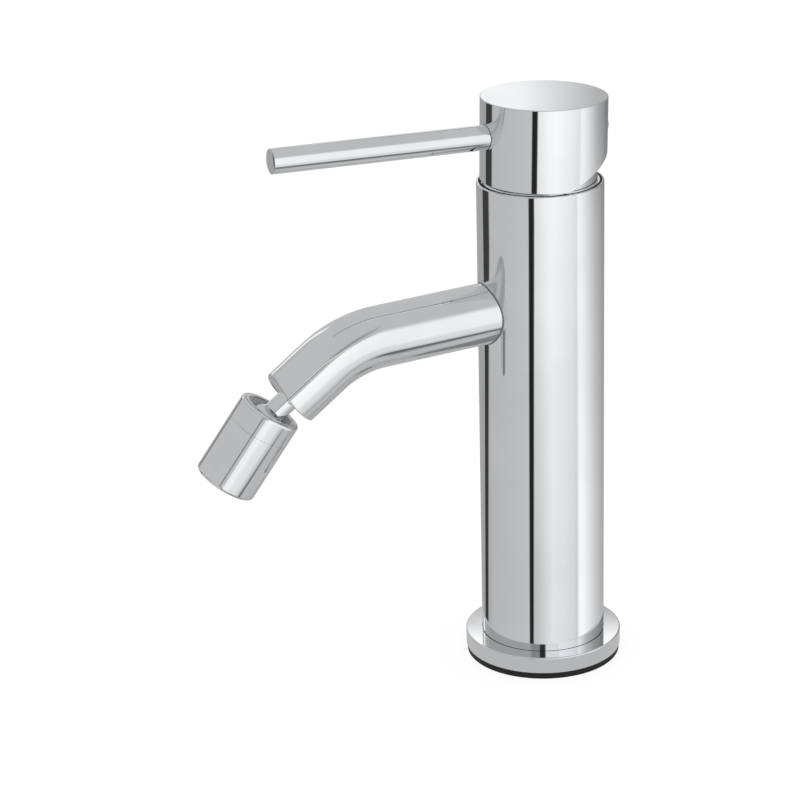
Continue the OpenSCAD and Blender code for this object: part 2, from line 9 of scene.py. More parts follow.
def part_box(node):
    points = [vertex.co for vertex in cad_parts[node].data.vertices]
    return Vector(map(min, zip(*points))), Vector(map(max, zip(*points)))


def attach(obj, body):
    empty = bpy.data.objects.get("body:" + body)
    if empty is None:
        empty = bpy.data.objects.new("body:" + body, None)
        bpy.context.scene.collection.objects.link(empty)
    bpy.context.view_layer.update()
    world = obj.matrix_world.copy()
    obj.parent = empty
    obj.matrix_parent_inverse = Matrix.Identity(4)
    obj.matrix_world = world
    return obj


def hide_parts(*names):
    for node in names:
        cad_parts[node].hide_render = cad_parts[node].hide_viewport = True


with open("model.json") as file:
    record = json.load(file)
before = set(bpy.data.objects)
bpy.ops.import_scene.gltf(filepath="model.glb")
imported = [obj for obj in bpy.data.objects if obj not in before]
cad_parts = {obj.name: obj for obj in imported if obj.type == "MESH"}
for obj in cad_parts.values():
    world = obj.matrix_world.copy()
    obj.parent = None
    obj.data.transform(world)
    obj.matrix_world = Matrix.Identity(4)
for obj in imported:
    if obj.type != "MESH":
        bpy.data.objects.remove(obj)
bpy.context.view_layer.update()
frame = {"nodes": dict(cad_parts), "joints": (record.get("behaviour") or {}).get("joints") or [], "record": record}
mm = 0.001
joints = {joint["name"]: joint for joint in frame["joints"]}


def nodeBox(node):
    low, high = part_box(node)
    return Vector(low) / mm, Vector(high) / mm  # in millimetres


# shapes

def spinPiece(points, bevels=(), steps=160, closed=True):
    # turns an outline of (radius, height) points round Z, then rounds the named corners
    bm = bmesh.new()
    verts = [bm.verts.new((radius * mm, 0, height * mm)) for radius, height in points]
    pairs = list(zip(verts, verts[1:]))
    if closed:
        pairs.append((verts[-1], verts[0]))
    edges = [bm.edges.new(pair) for pair in pairs]
    bmesh.ops.spin(bm, geom=verts + edges, axis=(0, 0, 1), cent=(0, 0, 0), dvec=(0, 0, 0),
                   angle=2 * math.pi, steps=steps, use_merge=True, use_duplicate=False)
    bmesh.ops.remove_doubles(bm, verts=bm.verts[:], dist=1e-6)
    bmesh.ops.dissolve_degenerate(bm, dist=1e-7, edges=bm.edges[:])
    for index, size, segments in bevels:
        roundRing(bm, points[index], size, segments)
    bmesh.ops.recalc_face_normals(bm, faces=bm.faces[:])
    return bm


def roundRing(bm, corner, size, segments):
    radius, height = corner[0] * mm, corner[1] * mm

    def onCorner(vert):
        return abs(vert.co.xy.length - radius) < 2e-6 and abs(vert.co.z - height) < 2e-6

    edges = [edge for edge in bm.edges if onCorner(edge.verts[0]) and onCorner(edge.verts[1])]
    roundEdges(bm, edges, size, segments)


def roundEdges(bm, edges, size, segments):
    bmesh.ops.bevel(bm, geom=edges, offset=size * mm, offset_type="OFFSET", affect="EDGES",
                    segments=segments, profile=0.5, material=-1, clamp_overlap=True)


def arcPoints(radius, centreHeight, start, end, count):
    # points on a circle round the axis, by angle above level
    span = [math.radians(start + (end - start) * step / count) for step in range(count + 1)]
    return [(radius * math.cos(angle), centreHeight + radius * math.sin(angle)) for angle in span]


def addPiece(name, bm, body, material, nodes=(), place=None, sharp=40):
    if place is not None:
        bm.transform(place)
    mesh = bpy.data.meshes.new(name)
    bm.to_mesh(mesh)
    bm.free()
    mesh.polygons.foreach_set("use_smooth", [True] * len(mesh.polygons))
    mesh.set_sharp_from_angle(angle=math.radians(sharp))
    piece = bpy.data.objects.new(name, mesh)
    bpy.context.scene.collection.objects.link(piece)
    weighted = piece.modifiers.new("flatFaces", "WEIGHTED_NORMAL")
    weighted.weight = 100
    weighted.keep_sharp = True
    mesh.materials.append(material)
    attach(piece, body)
    if nodes:
        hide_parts(*nodes)
    return piece


def circlePoints(radius, count=128):
    turns = [2 * math.pi * index / count for index in range(count)]
    return [(radius * math.cos(turn), radius * math.sin(turn)) for turn in turns]


def beadAlong(spots, radius):
    # thin round bead along a closed line
    curve = bpy.data.curves.new("bead", "CURVE")
    curve.dimensions = "3D"
    curve.bevel_depth = radius * mm
    curve.bevel_resolution = 3
    line = curve.splines.new("POLY")
    line.points.add(len(spots) - 1)
    line.use_cyclic_u = True
    for point, spot in zip(line.points, spots):
        point.co = (*spot, 1)
    holder = bpy.data.objects.new("bead", curve)
    bpy.context.scene.collection.objects.link(holder)
    bpy.context.view_layer.update()
    mesh = bpy.data.meshes.new_from_object(holder)
    bpy.data.objects.remove(holder)
    bpy.data.curves.remove(curve)
    bm = bmesh.new()
    bm.from_mesh(mesh)
    bpy.data.meshes.remove(mesh)
    bmesh.ops.remove_doubles(bm, verts=bm.verts[:], dist=1e-7)
    bmesh.ops.recalc_face_normals(bm, faces=bm.faces[:])
    return bm


def alongAxis(origin, axis, sideways=(1, 0, 0)):
    # frame whose Z runs along axis from origin
    z = Vector(axis).normalized()
    x = Vector(sideways)
    x = (x - z * x.dot(z)).normalized()
    y = z.cross(x)
    turn = Matrix((x, y, z)).transposed().to_4x4()
    return Matrix.Translation(origin) @ turn


# finishes

def startMaterial(name, colour, metallic, roughness):
    material = bpy.data.materials.new(name)
    material.use_nodes = True
    nodes = material.node_tree.nodes
    shader = nodes["Principled BSDF"]
    shader.inputs["Base Color"].default_value = (*colour, 1)
    shader.inputs["Metallic"].default_value = metallic
    shader.inputs["Roughness"].default_value = roughness
    coord = nodes.new("ShaderNodeTexCoord")
    return material, shader, coord


def addNoise(material, coord, scale, detail=3.0, stretch=None):
    nodes, links = material.node_tree.nodes, material.node_tree.links
    noise = nodes.new("ShaderNodeTexNoise")
    noise.inputs["Scale"].default_value = scale
    noise.inputs["Detail"].default_value = detail
    source = coord.outputs["Object"]
    if stretch:
        mapping = nodes.new("ShaderNodeMapping")
        mapping.inputs["Scale"].default_value = stretch
        links.new(source, mapping.inputs["Vector"])
        source = mapping.outputs["Vector"]
    links.new(source, noise.inputs["Vector"])
    return noise.outputs["Fac"]


def spread(material, value, socket, low, high):
    # carries a 0..1 value to a socket, between two numbers
    nodes, links = material.node_tree.nodes, material.node_tree.links
    remap = nodes.new("ShaderNodeMapRange")
    remap.inputs["From Min"].default_value = 0.3
    remap.inputs["From Max"].default_value = 0.7
    remap.inputs["To Min"].default_value = low
    remap.inputs["To Max"].default_value = high
    links.new(value, remap.inputs["Value"])
    links.new(remap.outputs["Result"], socket)


def tint(material, value, socket, dark, light):
    nodes, links = material.node_tree.nodes, material.node_tree.links
    ramp = nodes.new("ShaderNodeValToRGB")
    ramp.color_ramp.elements[0].position = 0.3
    ramp.color_ramp.elements[0].color = (*dark, 1)
    ramp.color_ramp.elements[1].position = 0.7
    ramp.color_ramp.elements[1].color = (*light, 1)
    links.new(value, ramp.inputs["Fac"])
    links.new(ramp.outputs["Color"], socket)


def grainBump(material, shader, value, strength, distance):
    nodes, links = material.node_tree.nodes, material.node_tree.links
    bump = nodes.new("ShaderNodeBump")
    bump.inputs["Strength"].default_value = strength
    bump.inputs["Distance"].default_value = distance
    links.new(value, bump.inputs["Height"])
    links.new(bump.outputs["Normal"], shader.inputs["Normal"])


chromeLook = {"dark": (0.80, 0.81, 0.825), "light": (0.845, 0.855, 0.87), "smudge": 45.0,
              "film": 180.0, "gloss": (0.025, 0.05)}


def makeChrome():
    look = chromeLook
    material, shader, coord = startMaterial("polishedChrome", look["light"], 1.0, 0.03)
    smudge = addNoise(material, coord, look["smudge"])
    tint(material, smudge, shader.inputs["Base Color"], look["dark"], look["light"])
    film = addNoise(material, coord, look["film"])
    spread(material, film, shader.inputs["Roughness"], *look["gloss"])
    return material


rubberLook = {"dark": (0.006, 0.006, 0.007), "light": (0.015, 0.015, 0.016), "sheen": 0.3, "bloom": 120.0,
              "grain": 900.0, "gloss": (0.5, 0.72), "bump": (0.25, 0.00015)}


def makeRubber():
    look = rubberLook
    material, shader, coord = startMaterial("blackRubber", look["light"], 0.0, 0.6)
    shader.inputs["Specular IOR Level"].default_value = look["sheen"]
    bloom = addNoise(material, coord, look["bloom"])
    tint(material, bloom, shader.inputs["Base Color"], look["dark"], look["light"])
    grain = addNoise(material, coord, look["grain"])
    spread(material, grain, shader.inputs["Roughness"], *look["gloss"])
    grainBump(material, shader, grain, *look["bump"])
    return material


turnedLook = {"stain": 90.0, "rings": 40.0, "ringDetail": 2.0, "ringStretch": (1.0, 1.0, 60.0),
              "smoother": 0.06, "rougher": 0.08, "bump": (0.1, 0.00002)}


def makeTurnedMetal(name, dark, light, roughness, metallic=1.0):
    # machined metal: fine rings left by the tool, and a little stain
    look = turnedLook
    material, shader, coord = startMaterial(name, light, metallic, roughness)
    stain = addNoise(material, coord, look["stain"])
    tint(material, stain, shader.inputs["Base Color"], dark, light)
    rings = addNoise(material, coord, look["rings"], look["ringDetail"], look["ringStretch"])
    gloss = roughness - look["smoother"], roughness + look["rougher"]
    spread(material, rings, shader.inputs["Roughness"], *gloss)
    grainBump(material, shader, rings, *look["bump"])
    return material


plasticLook = {"cloud": 150.0, "grain": 1500.0, "smoother": 0.05, "rougher": 0.08, "bump": (0.12, 0.00005)}


def makePlastic(name, dark, light, roughness):
    look = plasticLook
    material, shader, coord = startMaterial(name, light, 0.0, roughness)
    cloud = addNoise(material, coord, look["cloud"])
    tint(material, cloud, shader.inputs["Base Color"], dark, light)
    grain = addNoise(material, coord, look["grain"])
    gloss = roughness - look["smoother"], roughness + look["rougher"]
    spread(material, grain, shader.inputs["Roughness"], *gloss)
    grainBump(material, shader, grain, *look["bump"])
    return material


chrome = makeChrome()
rubber = makeRubber()
brass = makeTurnedMetal("rawBrass", (0.58, 0.42, 0.17), (0.72, 0.54, 0.25), 0.24)
copper = makeTurnedMetal("drawnCopper", (0.62, 0.30, 0.18), (0.75, 0.40, 0.26), 0.22)
steel = makeTurnedMetal("plainSteel", (0.60, 0.60, 0.61), (0.72, 0.72, 0.73), 0.3)
# dark steel whose colour paints the shade line in the spout's joint
jointShadeSteel = makeTurnedMetal("jointShadeSteel", (0.20, 0.20, 0.21), (0.28, 0.28, 0.29), 0.4)
satinSteel = makeTurnedMetal("satinSteel", (0.60, 0.60, 0.61), (0.66, 0.66, 0.67), 0.5, 0.4)
whitePlastic = makePlastic("whitePlastic", (0.74, 0.74, 0.72), (0.84, 0.84, 0.82), 0.42)
bluePlastic = makePlastic("bluePlastic", (0.03, 0.09, 0.30), (0.06, 0.14, 0.40), 0.4)
greyPlastic = makePlastic("greyPlastic", (0.30, 0.31, 0.32), (0.38, 0.39, 0.40), 0.42)
ceramic = makePlastic("whiteCeramic", (0.80, 0.79, 0.75), (0.88, 0.87, 0.84), 0.16)
innerFinish = {
    "raw_brass": brass, "copper_pipe": copper, "plain_steel": steel, "white_plastic": whitePlastic,
    "blue_plastic": bluePlastic, "grey_plastic": greyPlastic, "white_ceramic": ceramic,
    "black_rubber": rubber, "polished_chrome": chrome}
for part in frame["record"]["subparts"]:
    nodeObject = frame["nodes"][part["node"]]
    nodeObject.data.materials.clear()
    nodeObject.data.materials.append(innerFinish[part["material_slot"]])
print("finishes:", len(innerFinish))


# base and column

baseShape = {"gasketRound": 0.35, "flangeRound": 0.4, "flangeDraft": 0.1, "jointGap": 0.2, "jointDepth": 0.6,
             "rimRound": 0.4, "rimInner": 0.3, "darkRingWidth": 0.8, "darkRingDepth": 0.1, "darkRingRise": 0.02,
             "darkRingStart": 18.6, "darkRingRound": 0.015, "plugFit": 0.02, "footRound": 0.2}


def buildBase():
    shape = baseShape
    low, high = nodeBox("base_gasket")
    innerRadius = nodeBox("base_plug")[1].x + shape["plugFit"]
    ring = [(innerRadius, low.z), (high.x, low.z), (high.x, high.z), (innerRadius, high.z)]
    gasket = spinPiece(ring, [(1, shape["gasketRound"], 3), (2, shape["gasketRound"], 3)])
    addPiece("baseGasket", gasket, "column", rubber, ["base_gasket"])
    columnRadius = nodeBox("body_tube")[1].x
    low, high = nodeBox("base_flange")
    foot = high.x - shape["flangeDraft"]  # a little draft, as on a pressed ring
    joint, jointFloor = columnRadius + shape["jointGap"], high.z - shape["jointDepth"]
    ring = [(columnRadius, low.z), (foot, low.z), (high.x, high.z), (joint, high.z), (joint, jointFloor),
            (columnRadius, jointFloor)]
    flange = spinPiece(ring, [(2, shape["flangeRound"], 8), (1, shape["footRound"], 2)], steps=224)
    addPiece("baseFlange", flange, "column", chrome, ["base_flange"])


def buildColumn():
    low, high = nodeBox("body_tube")
    bore = nodeBox("base_plug")[1].x
    ring = [(bore, low.z), (high.x, low.z), (high.x, high.z), (bore, high.z)]
    tube = spinPiece(ring, [(2, baseShape["rimRound"], 6), (3, baseShape["rimInner"], 3)], steps=256)
    addPiece("columnTube", tube, "column", chrome, ["body_tube"])


def buildRimDarkRing():
    # thin black ring let into the rim, round the dome's foot, which makes the gap under the cap dark
    shape = baseShape
    rim = nodeBox("body_tube")[1].z
    inner, outer = shape["darkRingStart"], shape["darkRingStart"] + shape["darkRingWidth"]
    low, top = rim - shape["darkRingDepth"], rim + shape["darkRingRise"]
    ring = [(inner, low), (outer, low), (outer, top), (inner, top)]
    darkRing = spinPiece(ring, [(2, shape["darkRingRound"], 2), (3, shape["darkRingRound"], 2)])
    addPiece("rimDarkRing", darkRing, "column", rubber)


buildBase()
buildColumn()
buildRimDarkRing()
print("base and column done")


# lever

leverShape = {"headCut": 26.0, "cutStart": 0.0, "headGap": 0.5, "headTop": 26.69, "headRadius": 19.85,
              "headShift": 1.0, "hollow": 18.2, "bossRadius": 9.0, "bossRise": 8.0, "topRound": 0.25,
              "lipRound": 0.2, "rodRadius": 3.9, "rodReach": 88.8, "rodRise": 15.4, "rodStart": 12.85,
              "tipRound": 0.12, "coverRadius": 2.15, "coverProud": 2.0, "coverLength": 4.0, "coverRound": 1.1,
              "rodShadeLine": 0.12}
pivot = Vector(joints["lever_lift"]["pos_m"])
restLift = -math.radians(joints["lever_lift"]["range_deg"][0])
leverPlace = Matrix.Translation(pivot) @ Matrix.Rotation(-restLift, 4, "X")


def bottomRing(bm, height):
    edges = [e for e in bm.edges if e.is_boundary]
    return [e for e in edges if all(abs(v.co.z - height * mm) < 1e-6 for v in e.verts)]


def buildLeverHead():
    shape = leverShape
    gap, shift = shape["headGap"], shape["headShift"]
    lipAngle = math.degrees(math.asin(gap / shape["hollow"]))
    bossAngle = math.degrees(math.acos(shape["bossRadius"] / shape["hollow"]))
    outside = [(0, shape["headTop"]), (shape["headRadius"], shape["headTop"]), (shape["headRadius"], gap)]
    inside = arcPoints(shape["hollow"], 0, lipAngle, bossAngle, 16)
    inside += [(shape["bossRadius"], shape["bossRise"]), (0, shape["bossRise"])]
    bm = spinPiece(outside, [(1, shape["topRound"], 5)], steps=192, closed=False)
    bmesh.ops.translate(bm, verts=bm.verts[:], vec=(0, shift * mm, 0))  # the cap sits behind the axis
    hollow = spinPiece(inside, steps=192, closed=False)
    hollowMesh = bpy.data.meshes.new("hollow")
    hollow.to_mesh(hollowMesh)
    hollow.free()
    bm.from_mesh(hollowMesh)
    bpy.data.meshes.remove(hollowMesh)
    bmesh.ops.bridge_loops(bm, edges=bottomRing(bm, gap))
    slope = math.radians(shape["headCut"])
    upward = Vector((0, -math.sin(slope), math.cos(slope)))
    edge = Vector((0, shift + shape["cutStart"], gap)) * mm
    cutGeom = bm.verts[:] + bm.edges[:] + bm.faces[:]
    bmesh.ops.bisect_plane(bm, geom=cutGeom, dist=1e-7, plane_co=edge, plane_no=upward, clear_inner=True)
    bmesh.ops.holes_fill(bm, edges=[e for e in bm.edges if e.is_boundary], sides=0)
    bmesh.ops.recalc_face_normals(bm, faces=bm.faces[:])
    lip = [e for e in bm.edges if isHeadLip(e, edge, upward)]
    roundEdges(bm, lip, shape["lipRound"], 3)
    addPiece("leverHead", bm, "lever", chrome, ["lever_head"], leverPlace)


def isHeadLip(e, edge, upward):
    # outer lower edge of the cap, level in front and slanted behind
    axis = Vector((0, leverShape["headShift"] * mm))
    outer = all(abs((v.co.xy - axis).length - leverShape["headRadius"] * mm) < 5e-6 for v in e.verts)
    level = all(abs(v.co.z - edge.z) < 2e-6 for v in e.verts)
    slanted = all(abs((v.co - edge).dot(upward)) < 2e-6 for v in e.verts)
    return outer and (level or slanted)


def buildLeverRod():
    shape = leverShape
    radius, tip, start = shape["rodRadius"], shape["rodReach"], shape["rodStart"]
    outline = [(0, start), (radius, start), (radius, tip), (0, tip)]
    rod = spinPiece(outline, [(2, shape["tipRound"], 4)], steps=96, closed=False)
    place = leverPlace @ alongAxis((0, 0, shape["rodRise"] * mm), (0, -1, 0))
    addPiece("leverRod", rod, "lever", chrome, ["lever_rod"], place)


def buildRodShadeLine():
    # thin black bead round the rod's root: a painted shade line in the joint
    shape = leverShape
    spots = []
    for x, up in circlePoints(shape["rodRadius"]):
        y = shape["headShift"] - math.sqrt(shape["headRadius"] ** 2 - x ** 2)
        spots.append(leverPlace @ (Vector((x, y, shape["rodRise"] + up)) * mm))
    addPiece("rodShadeLine", beadAlong(spots, shape["rodShadeLine"]), "lever", rubber)


def buildScrewCover():
    shape = leverShape
    radius, back = shape["coverRadius"], shape["headRadius"] + shape["headShift"]
    start, face = back - shape["coverLength"], back + shape["coverProud"]
    outline = [(0, start), (radius, start), (radius, face), (0, face)]
    cover = spinPiece(outline, [(2, shape["coverRound"], 6)], steps=48, closed=False)
    place = leverPlace @ alongAxis((0, 0, shape["rodRise"] * mm), (0, 1, 0))
    addPiece("screwCover", cover, "lever", chrome, ["screw_cover"], place)


domeShape = {"radius": 17.9, "wall": 1.2, "height": 7.5, "edgeRound": 0.3}


def buildDome():
    shape = domeShape
    outer, inner = shape["radius"], shape["radius"] - shape["wall"]
    outerTop = math.degrees(math.asin(shape["height"] / outer))
    innerTop = math.degrees(math.asin(shape["height"] / inner))
    outline = arcPoints(outer, 0, 0, outerTop, 12) + arcPoints(inner, 0, innerTop, 0, 12)
    dome = spinPiece(outline, [(12, shape["edgeRound"], 3)], steps=160)
    place = Matrix.Translation(pivot)
    addPiece("domeCover", dome, "column", chrome, ["dome_cover"], place)


buildLeverHead()
buildLeverRod()
buildRodShadeLine()
buildScrewCover()
buildDome()
print("lever done")


# spout

spoutShape = {"radius": 9.7, "wall": 1.5, "height": 120.5, "droop": 3.4, "run": 55.4, "bendRadius": 35.0,
              "slope": 36.8, "end": 13.6, "crown": 1.8, "start": 14.5, "mouthDepth": 8.0, "rimRound": 0.3,
              "weld": 0.28}


def ringOf(geom):
    return [e for e in geom if isinstance(e, bmesh.types.BMEdge)]


def vertsOf(geom):
    return [v for v in geom if isinstance(v, bmesh.types.BMVert)]


def extrudeRing(bm, ring):
    grown = bmesh.ops.extrude_edge_only(bm, edges=ring)["geom"]
    return vertsOf(grown), ringOf(grown)


def buildSpout():
    shape = spoutShape
    bm = bmesh.new()
    circle = bmesh.ops.create_circle(bm, cap_ends=True, radius=shape["radius"] * mm, segments=96)
    bmesh.ops.translate(bm, verts=circle["verts"], vec=(0, 0, shape["start"] * mm))
    ring = bm.edges[:]
    verts, ring = extrudeRing(bm, ring)
    bmesh.ops.translate(bm, verts=verts, vec=(0, 0, (shape["run"] - shape["start"]) * mm))
    bend = math.radians(shape["slope"] - shape["droop"])
    hub = Vector((0, -shape["bendRadius"] * mm, shape["run"] * mm))
    turned = bmesh.ops.spin(bm, geom=verts + ring, axis=(1, 0, 0), cent=hub, dvec=(0, 0, 0), angle=bend,
                            steps=40, use_merge=False, use_duplicate=False)["geom_last"]
    verts, ring = extrudeRing(bm, ringOf(turned))
    onward, outward = endAxes()
    bmesh.ops.translate(bm, verts=verts, vec=onward * shape["end"] * mm)
    middle = sum((v.co for v in verts), Vector()) / len(verts)
    rim, endVerts = list(ring), list(verts)
    verts, ring = extrudeRing(bm, ring)
    mouth = (shape["radius"] - shape["wall"]) / shape["radius"]
    bmesh.ops.scale(bm, verts=verts, vec=(mouth,) * 3, space=Matrix.Translation(-middle))
    rim += ring
    endVerts += verts
    verts, ring = extrudeRing(bm, ring)
    bmesh.ops.translate(bm, verts=verts, vec=-onward * shape["mouthDepth"] * mm)
    bmesh.ops.contextual_create(bm, geom=ring)
    for vert in endVerts:  # the end is cut on a radius, so its sides stand out
        stand = crownStand((vert.co - middle).dot(outward) / mm)
        bmesh.ops.translate(bm, verts=[vert], vec=onward * stand * mm)
    roundEdges(bm, rim, shape["rimRound"], 3)
    bmesh.ops.recalc_face_normals(bm, faces=bm.faces[:])
    addPiece("spoutTube", bm, "column", chrome, ["spout"], spoutPlace())


def crownStand(across):
    # how far the crowned end stands out, at a distance from its middle line
    shape = spoutShape
    crownRadius = (shape["radius"] ** 2 + shape["crown"] ** 2) / (2 * shape["crown"])
    return math.sqrt(crownRadius ** 2 - across ** 2) - crownRadius + shape["crown"]


def endAxes():
    # along the last run, and out from the bend's hub
    bend = math.radians(spoutShape["slope"] - spoutShape["droop"])
    return Vector((0, -math.sin(bend), math.cos(bend))), Vector((0, math.cos(bend), math.sin(bend)))


def spoutPlace():
    tip = Matrix.Rotation(math.radians(90 + spoutShape["droop"]), 4, "X")
    return Matrix.Translation((0, 0, spoutShape["height"] * mm)) @ tip


def spoutEnd():
    # middle of the spout's end face
    shape = spoutShape
    onward, outward = endAxes()
    hub = Vector((0, -shape["bendRadius"], shape["run"]))
    return spoutPlace() @ ((hub + outward * shape["bendRadius"] + onward * shape["end"]) * mm)


def buildWeldShade():
    # thin bead where the spout meets the column, in dark steel: a painted shade line in the joint
    shape = spoutShape
    columnRadius = nodeBox("body_tube")[1].x
    droop = math.radians(shape["droop"])
    spots = []
    for x, up in circlePoints(shape["radius"]):
        y = -math.sqrt(columnRadius ** 2 - x ** 2)
        along = (-y - up * math.sin(droop)) / math.cos(droop)
        spots.append(spoutPlace() @ (Vector((x, up, along)) * mm))
    addPiece("spoutWeldShade", beadAlong(spots, shape["weld"]), "column", jointShadeSteel)


buildSpout()
buildWeldShade()
print("spout done")


# ball joint and aerator

swivelShape = {"stemRadius": 3.6, "stemLength": 20.0, "ballRadius": 6.0, "radius": 10.0, "top": -5.0,
               "foot": 2.4, "mouth": 7.6, "mouthRound": 0.3, "lip": 5.6, "lipHeight": -2.4, "bore": 8.65,
               "round": 1.0, "seam": 0.2, "seamRound": 0.03, "seamDepth": 0.05, "seamFloor": 0.05,
               "spigot": 1.1, "spigotFit": 0.1, "housing": 20.0, "throat": 7.0, "tube": 8.5, "tubeRound": 0.2,
               "insertInset": 0.6, "insertDepth": 8.0, "washer": 1.2, "lining": 0.04, "liningStop": 0.4}
ballCentre = Vector(joints["stem_turn"]["pos_m"])
stemPlace = alongAxis(ballCentre, joints["stem_turn"]["axis"])
swivelPlace = alongAxis(ballCentre, joints["aerator_spin"]["axis"])


def buildStem():
    shape = swivelShape
    neckAngle = -math.degrees(math.acos(shape["stemRadius"] / shape["ballRadius"]))
    outline = [(0, -shape["stemLength"]), (shape["stemRadius"], -shape["stemLength"])]
    outline += arcPoints(shape["ballRadius"], 0, neckAngle, 90, 24)
    outline[-1] = (0, shape["ballRadius"])
    stem = spinPiece(outline, steps=96, closed=False)
    addPiece("ballStem", stem, "stem", chrome, ["ball_stem"], stemPlace)


def buildCollar():
    shape = swivelShape
    radius, top, foot, bore = shape["radius"], shape["top"], shape["foot"], shape["bore"]
    outline = [(shape["lip"], shape["lipHeight"]), (shape["mouth"], top), (radius, top), (radius, foot),
               (bore, foot), (bore, shape["lipHeight"])]
    rounds = [(2, shape["round"], 6), (1, shape["mouthRound"], 3), (3, shape["seamRound"], 2)]
    collar = spinPiece(outline, rounds, steps=128)
    addPiece("swivelCollar", collar, "swivel", chrome, ["swivel_collar"], swivelPlace)


def buildMouth():
    # satin lining on the cone of the collar's mouth
    shape = swivelShape
    inside, outside = Vector((shape["lip"], shape["lipHeight"])), Vector((shape["mouth"], shape["top"]))
    along = (outside - inside).normalized()
    lift = Vector((along.y, -along.x)) * shape["lining"]
    inside, outside = inside + along * shape["lining"], outside - along * shape["liningStop"]
    ring = [tuple(inside), tuple(outside), tuple(outside + lift), tuple(inside + lift)]
    mouth = spinPiece(ring, steps=128)
    addPiece("collarMouth", mouth, "swivel", satinSteel, place=swivelPlace)


def buildHousing():
    shape = swivelShape
    top = shape["foot"] + shape["seam"]
    end = top + shape["housing"]
    shelf = end - shape["insertInset"] - shape["insertDepth"] - shape["washer"]
    spigot, start = shape["bore"] - shape["spigotFit"], shape["spigot"]
    step, stepTop = shape["radius"] - shape["seamDepth"], shape["foot"] + shape["seamFloor"]
    outline = [(shape["throat"], start), (spigot, start), (spigot, stepTop), (step, stepTop), (step, top),
               (shape["radius"], top), (shape["radius"], end), (shape["tube"], end), (shape["tube"], shelf),
               (shape["throat"], shelf)]
    rounds = [(6, shape["round"], 6), (5, shape["seamRound"], 2), (7, shape["tubeRound"], 2)]
    housing = spinPiece(outline, rounds, steps=128)
    addPiece("aeratorHousing", housing, "aerator", chrome, ["aerator_housing"],
             swivelPlace)


insertShape = {"grooves": 4, "grooveDepth": 0.7, "rib": 0.45, "hubShare": 0.5, "fit": 0.02, "spokes": 12,
               "spokeWidth": 0.4, "spokeReach": 0.86, "spokeMiddle": 0.55, "spokeLift": 0.2}


def buildInsert():
    # jet plate: ribs in rings and spokes, as under a swivel aerator
    shape, joint = insertShape, swivelShape
    end = joint["foot"] + joint["seam"] + joint["housing"] - joint["insertInset"]
    start, radius = end - joint["insertDepth"], joint["tube"] - shape["fit"]
    floorLevel = end - shape["grooveDepth"]
    outline = [(0, start), (radius, start), (radius, end)]
    pitch = (radius - shape["rib"]) / (shape["grooves"] + shape["hubShare"])
    for index in range(shape["grooves"]):
        outside = radius - shape["rib"] - index * pitch
        inside = outside - pitch + shape["rib"]
        outline += [(outside, end), (outside, floorLevel), (inside, floorLevel), (inside, end)]
    outline += [(0, end)]
    bm = spinPiece(outline, steps=96, closed=False)
    for index in range(shape["spokes"]):
        turn = Matrix.Rotation(2 * math.pi * index / shape["spokes"], 4, "Z")
        middle = Vector((radius * shape["spokeMiddle"], 0, floorLevel + shape["spokeLift"])) * mm
        size = Vector((radius * shape["spokeReach"], shape["spokeWidth"], shape["grooveDepth"])) * mm
        place = turn @ Matrix.Translation(middle) @ Matrix.Diagonal((*size, 1))
        bmesh.ops.create_cube(bm, size=1.0, matrix=place)
    addPiece("aeratorInsert", bm, "aerator", whitePlastic, ["aerator_insert"], swivelPlace)


bushShape = {"length": 8.0, "inset": 0.2, "fit": 0.02, "run": 0.05, "chamfer": 0.5, "edgeRound": 0.2,
             "faceDepth": 1.0}


def buildBush():
    # its face follows the spout's crowned end
    shape = bushShape
    reach = (ballCentre - spoutEnd()).length / mm
    outer = spoutShape["radius"] - spoutShape["wall"] - shape["fit"]
    inner = swivelShape["stemRadius"] + shape["run"]
    face, back = -reach - shape["inset"], -reach - shape["inset"] - shape["length"]
    ring = [(inner, back), (outer, back), (outer, face), ((inner + outer) / 2, face), (inner, face)]
    bush = spinPiece(ring, [(4, shape["chamfer"], 2), (2, shape["edgeRound"], 2)], steps=96)
    for vert in [v for v in bush.verts if v.co.z > (face - shape["faceDepth"]) * mm]:
        bmesh.ops.translate(bush, verts=[vert], vec=(0, 0, crownStand(vert.co.y / mm) * mm))
    addPiece("outletBush", bush, "column", chrome, ["outlet_bush"], stemPlace)


buildStem()
buildBush()
buildCollar()
buildMouth()
buildHousing()
buildInsert()
print("ball joint and aerator done")


# floor, light and camera

# the foot shade is a grey glow painted on the floor near the foot, which only the chrome shows
floorLook = {"radius": 4.0, "tone": (0.95, 0.95, 0.95), "roughness": 0.9, "glow": 1.03, "cameraShare": 0.85,
             "footShadeStart": 0.0395, "footShadeEnd": 0.041, "footShadeLevel": 0.55}


